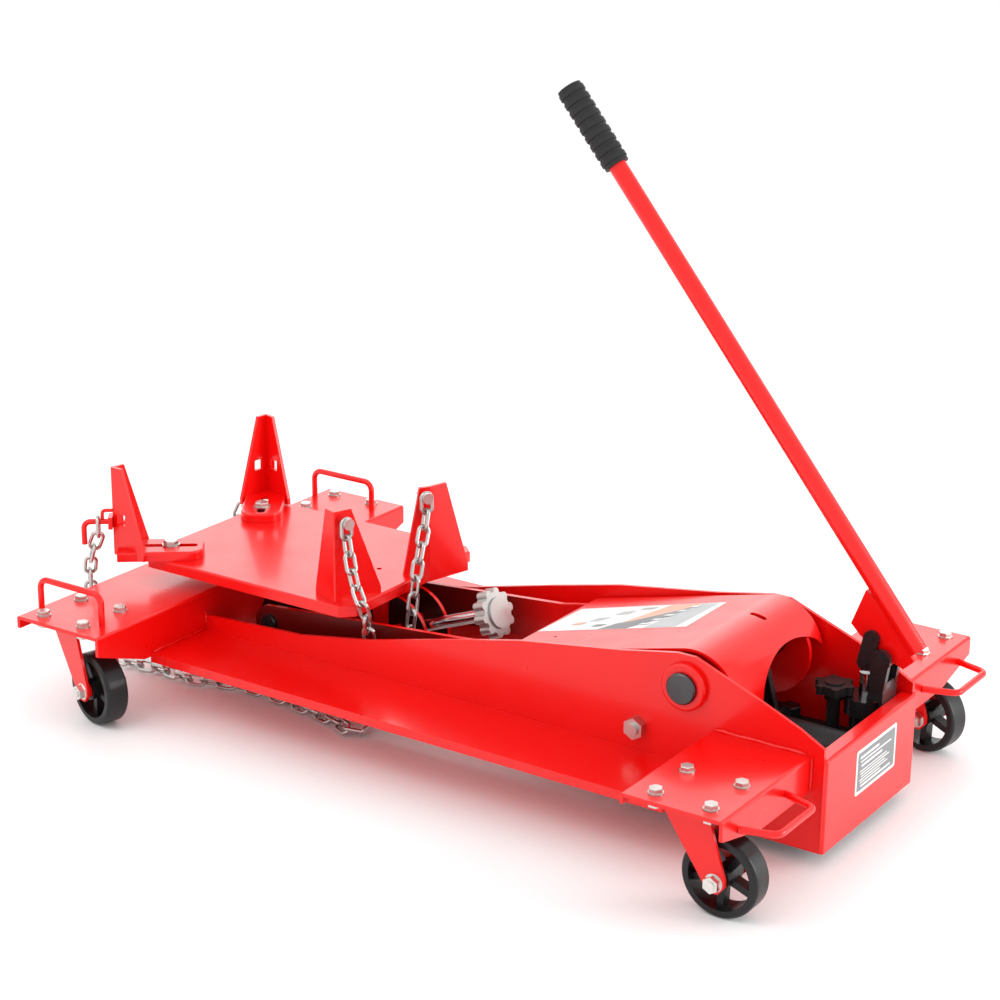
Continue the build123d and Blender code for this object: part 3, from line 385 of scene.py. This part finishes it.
def sheet(name, body, mat, outline, place, lift):
    """A flat sticker cut to an outline and laid on a plane."""
    top = [place(u, v, lift) for u, v in outline]
    low = [place(u, v, lift - STICKER) for u, v in outline]
    count = len(outline)
    faces = [tuple(range(count)), tuple(range(2 * count - 1, count - 1, -1))]
    faces += [(k, count + k, count + (k + 1) % count, (k + 1) % count) for k in range(count)]
    add(name, top + low, faces, mat, body, smooth=False)


def rounded(u0, u1, v0, v1, radius, steps=6):
    """The outline of a rectangle with round corners."""
    points = []
    for cu, cv, start in ((u1 - radius, v1 - radius, 0), (u0 + radius, v1 - radius, 90),
                          (u0 + radius, v0 + radius, 180), (u1 - radius, v0 + radius, 270)):
        for k in range(steps + 1):
            a = radians(start + 90 * k / steps)
            points.append((cu + radius * cos(a), cv + radius * sin(a)))
    return points


def on_box(u, v, lift):
    """u across and v up the rear box's outer face."""
    return at(BOX_REAR + lift, u, v)


def on_cover(u, v, lift):
    """u up the arm's cover from its front edge and v across it."""
    along, up = cos(COVER_CLIMB), sin(COVER_CLIMB)
    return at(COVER_FRONT[0] + u * along - lift * up, v, COVER_FRONT[1] + u * up + lift * along)


WHITE = dark("label_white", (0.78, 0.78, 0.77), 0.35, scale=900.0, depth=0.03)
GREY = dark("label_grey", (0.22, 0.23, 0.235), 0.4, scale=900.0, depth=0.05)
PALE_GREY = dark("label_pale_grey", (0.48, 0.50, 0.50), 0.4, scale=900.0, depth=0.05)
PEACH = dark("label_peach", (0.86, 0.42, 0.30), 0.4, scale=900.0, depth=0.05)

PLATE = (-47, 70, 68, 130)       # mm, the rating plate's sides on the box
PLATE_RIM = 4.5
# Height, length and half thickness of each blank bar, in mm.
PLATE_BARS = [(118, 54, 1.6), (112, 88, 1.0), (106, 60, 1.6), (99, 78, 0.8), (95, 84, 0.8),
              (91, 70, 0.8), (87, 82, 0.8), (83, 58, 0.8), (78, 86, 1.4)]
BAR_START = -36


def rating_plate():
    """Grey plate with a white rim and blank bars where a real one has its data."""
    u0, u1, v0, v1 = PLATE
    field = rounded(u0 + PLATE_RIM, u1 - PLATE_RIM, v0 + PLATE_RIM, v1 - PLATE_RIM, 2.5)
    sheet("rating_plate_rim", "frame", WHITE, rounded(*PLATE, 4), on_box, 0.35)
    sheet("rating_plate_field", "frame", GREY, field, on_box, 0.55)
    for k, (v, width, half) in enumerate(PLATE_BARS):
        start = BAR_START + k % 3 * 2
        bar = [(start, v - half), (start + width, v - half), (start + width, v + half),
               (start, v + half)]
        sheet(f"rating_plate_bar_{k}", "frame", WHITE, bar, on_box, 0.7)


# The cover's sticker: fields in the order that they lie on each other, in mm on the cover.
DECAL = [
    ("white", WHITE, [(2, -38), (232, -26), (232, 84), (8, 66)]),
    ("peach", PEACH, [(118, -2), (148, -2), (212, 68), (204, 81), (150, 76)]),
    ("grey_left", GREY, [(96, -32), (140, -30), (206, 58), (198, 72), (128, 2), (112, -6)]),
    ("grey_right", PALE_GREY, [(166, -28), (214, -24), (222, 80), (196, 78)]),
    ("mark_a", PALE_GREY, [(60, 4), (76, 6), (84, 22), (66, 20)]),
    ("mark_b", PALE_GREY, [(84, 34), (104, 36), (108, 50), (90, 48)]),
    ("mark_c", GREY, [(78, -20), (92, -19), (98, -10), (82, -11)]),
    ("mark_d", PEACH, [(40, -12), (54, -10), (60, 0), (46, -1)]),
    ("mark_e", PALE_GREY, [(112, 56), (130, 58), (134, 66), (116, 64)]),
]
STRIPE = [(0, 0), (13, 1), (17, 8), (4, 7)]
STRIPE_START, STRIPE_STEP = (150, -16), (9, 19)


def cover_decal():
    """Worn sticker of plain colour fields; nothing on it reads as letters."""
    for k, (name, mat, outline) in enumerate(DECAL):
        sheet(f"cover_decal_{name}", "lift_arm", mat, outline, on_cover, 0.3 + 0.08 * k)
    for k in range(5):
        u, v = (start + step * k for start, step in zip(STRIPE_START, STRIPE_STEP))
        bar = [(u + du, v + dv) for du, dv in STRIPE]
        sheet(f"cover_decal_stripe_{k}", "lift_arm", WHITE, bar, on_cover, 1.1)


rating_plate()
cover_decal()
frame_welds()

# ---------------------------------------------------------------- camera and studio
CAMERA_AT = (1.69560, -2.5283, 1.3545)
AZIMUTH, ELEVATION, ROLL = 33.93, 18.42, 0.56      # degrees
LENS, SENSOR = 84.2, 36                            # mm
FLOOR_HALF = 30
FLOOR_COLOR = (0.96, 0.96, 0.96)
WORLD_STRENGTH = 1.05
# Where each lamp stands, what it points at, its two sides and its power.
LAMPS = {
    "key": ((-1.2, -2.4, 3.2), (0, 0, 0.2), (2.4, 1.8), 30),
    "backdrop": ((-2.2, 3.3, 1.75), (0, 0, 0.15), (5.0, 2.0), 34),
    "side": ((3.0, 1.2, 1.0), (0.4, 0, 0.1), (1.8, 1.6), 52),
}


def camera():
    """A camera that looks along its azimuth, down by its elevation, rolled a little."""
    cam = D.objects.new("camera", D.cameras.new("camera"))
    scene.collection.objects.link(cam)
    az, el, turn = radians(AZIMUTH), radians(ELEVATION), radians(ROLL)
    ahead = Vector((-sin(az) * cos(el), cos(az) * cos(el), -sin(el)))
    right = Vector((cos(az), sin(az), 0))
    up = right.cross(ahead)
    right, up = right * cos(turn) + up * sin(turn), up * cos(turn) - right * sin(turn)
    cam.matrix_world = Matrix((
        (right.x, up.x, -ahead.x, CAMERA_AT[0]),
        (right.y, up.y, -ahead.y, CAMERA_AT[1]),
        (right.z, up.z, -ahead.z, CAMERA_AT[2]),
        (0, 0, 0, 1)))
    cam.data.lens = LENS
    cam.data.sensor_width = SENSOR
    cam.data.clip_end = 100
    scene.camera = cam


def floor():
    h = FLOOR_HALF
    mesh = D.meshes.new("floor")
    mesh.from_pydata([(-h, -h, 0), (h, -h, 0), (h, h, 0), (-h, h, 0)], [], [(0, 1, 2, 3)])
    mesh.materials.append(material("pale_floor", FLOOR_COLOR, 0.6, specular=0.2)[0])
    obj = D.objects.new("floor", mesh)
    scene.collection.objects.link(obj)


def lamps():
    for name, (position, target, size, power) in LAMPS.items():
        lamp = D.lights.new(name, "AREA")
        lamp.shape = "RECTANGLE"
        lamp.size, lamp.size_y = size
        lamp.energy = power
        obj = D.objects.new(name, lamp)
        scene.collection.objects.link(obj)
        obj.location = position
        ahead = Vector(target) - Vector(position)
        obj.rotation_euler = ahead.to_track_quat("-Z", "Y").to_euler()


def world():
    studio = D.worlds.new("studio")
    studio.use_nodes = True
    background = studio.node_tree.nodes["Background"]
    background.inputs["Color"].default_value = (1, 1, 1, 1)
    background.inputs["Strength"].default_value = WORLD_STRENGTH
    scene.world = studio
    scene.view_settings.view_transform = "Standard"


camera()
floor()
lamps()
world()
